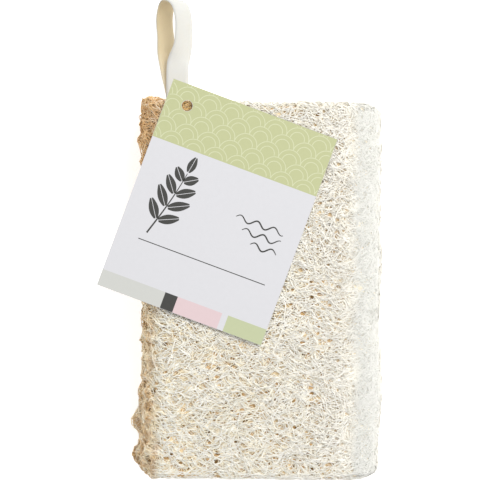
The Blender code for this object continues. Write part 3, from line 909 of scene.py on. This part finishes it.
def scallops():
    """Rows of round scales, two fine arcs to each, cut off at the band's edges and round the hole."""
    lines = []
    for row in range(-1, int(BAND_HEIGHT / SCALLOP) + 2):
        for column in range(-9, 10):
            across = column * 2 * SCALLOP + (row % 2) * SCALLOP + SCALLOP_SHIFT
            for size in (SCALLOP, SCALLOP * INNER_ARC):
                run = []
                for u, v in arc((across, BAND_FOOT + row * SCALLOP), size, math.pi, 22) + [(9, 9)]:
                    inside = (
                        LEFT + SCALLOP_MARGIN < u < RIGHT - SCALLOP_MARGIN
                        and BAND_FOOT + SCALLOP_MARGIN < v < TOP - SCALLOP_MARGIN
                        and math.hypot(u - HOLE[0], v - HOLE[1]) > TAG_HOLE_RADIUS + SCALLOP_HOLE_MARGIN
                    )
                    if inside:
                        run.append((u, v))
                        continue
                    if len(run) > 1:
                        lines.append([stroke(run, SCALLOP_LINE)])
                    run = []
    return lines


def sprig():
    """A stem with pairs of leaves and one at its tip."""
    stem = []
    for t in np.linspace(0, 1, 15):
        sway = 0.0012 * math.sin(2.2 * t) + 0.0060 * t
        stem.append((SPRIG_FOOT[0] + sway, SPRIG_FOOT[1] + SPRIG_HEIGHT * t))
    shapes = [[stroke(stem, np.linspace(0.0007, 0.0003, 15))]]

    def way_at(i):
        return math.atan2(stem[i + 1][1] - stem[i][1], stem[i + 1][0] - stem[i][0])

    for i, size in ((3, 0.0098), (6, 0.0104), (9, 0.0092), (12, 0.0070)):
        for side in (1, -1):
            shapes += [[half] for half in leaf(stem[i], way_at(i) + side * 0.86, size, 0.0036)]
    return shapes + [[half] for half in leaf(stem[-1], way_at(13), 0.0078, 0.0032)]


def ripples():
    """Three short lines of water, each shorter than the one above it."""
    shapes = []
    for row, width in enumerate((0.020, 0.016, 0.011)):
        line = []
        for t in np.linspace(0, 1, 60):
            rise = RIPPLE_RISE * math.sin(t * width * RIPPLE_TURN)
            line.append((RIPPLES_RIGHT - (1 - t) * width, RIPPLES_TOP - row * RIPPLE_SPACING + rise))
        swell = 0.00062 * np.sin(np.pi * np.linspace(0.04, 0.96, 60)) ** 0.4
        shapes.append([stroke(line, swell)])
    return shapes


dress(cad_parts["swing_tag"].data, coated_card())
hole_edge = arc(HOLE, TAG_HOLE_RADIUS + HOLE_MARGIN, 2 * math.pi, 40)[:-1]
printed("tag_band_green", [[block(LEFT, RIGHT, BAND_FOOT, TOP), hole_edge[::-1]]],
        offset_ink("sage_green_ink", "#BABE91", "#B6BA8C"))
printed("tag_band_lines", scallops(),
        offset_ink("pale_line_ink", "#CCD0AB", "#C9CDA8"), OVER_INK, 0.0000012)
# The strip of colours along the foot
for name, ink, start, end, shade, deeper in (
    ("tag_strip_sand", "sand_grey_ink", LEFT, SAND_END, "#C6C7C2", "#C3C4BF"),
    ("tag_strip_rose", "pale_rose_ink", DARK_END, ROSE_END, "#D8C2C4", "#D4BEC0"),
    ("tag_strip_green", "leaf_green_ink", BARE_END, RIGHT, "#BBC29C", "#B7BE98"),
):
    printed(name, [[block(start, end, BOTTOM, STRIP_HEAD)]], offset_ink(ink, shade, deeper))
dark = [[block(SAND_END, DARK_END, BOTTOM, STRIP_HEAD)], [block(*RULE)]]
printed("tag_dark_ink", dark + sprig() + ripples(), offset_ink("charcoal_ink", "#3C3C39", "#353532"))


# Floor and light: a white sweep, a large soft lamp from the right and weaker light from all round


def studio_white():
    """A matt white light table, faintly lit from below."""
    material, tree = new_material("matt_white_floor")
    surface = add(tree, SURFACE, {
        "Base Color": "#FCFCFC", "Roughness": 0.9, "Specular IOR Level": 0.1,
        "Emission Color": "#FFFFFF", "Emission Strength": 0.45})
    add(tree, OUTPUT, [surface])
    return material


def soft_lamp(name, place, size, power, tint):
    """A square softbox that points at the middle of the pad."""
    light = bpy.data.lights.new(name, "AREA")
    light.shape = "SQUARE"
    light.size = size
    light.energy = power
    light.color = colour(tint)[:3]
    lamp = show(bpy.data.objects.new(name, light))
    lamp.location = place
    lamp.rotation_euler = (Vector((0, 0.01, 0.02)) - Vector(place)).to_track_quat("-Z", "Y").to_euler()


floor_mesh = bpy.data.meshes.new("floor")
floor_mesh.from_pydata([(-4, -4, 0), (4, -4, 0), (4, 4, 0), (-4, 4, 0)], [], [(0, 1, 2, 3)])
floor_mesh.materials.append(studio_white())
floor = show(bpy.data.objects.new("floor", floor_mesh))

soft_lamp("key_softbox", (0.52, 0.72, 1.15), 0.70, 11.8, "#FFFEFB")
soft_lamp("side_softbox", (1.25, 0.30, 0.40), 0.50, 3.2, "#FFFDF8")
world = bpy.data.worlds.new("studio")
bpy.context.scene.world = world
world.use_nodes = True
sky = world.node_tree.nodes["Background"]
sky.inputs["Color"].default_value = colour("#FBFBFD")
sky.inputs["Strength"].default_value = 0.785
bpy.context.scene.view_settings.view_transform = "Standard"
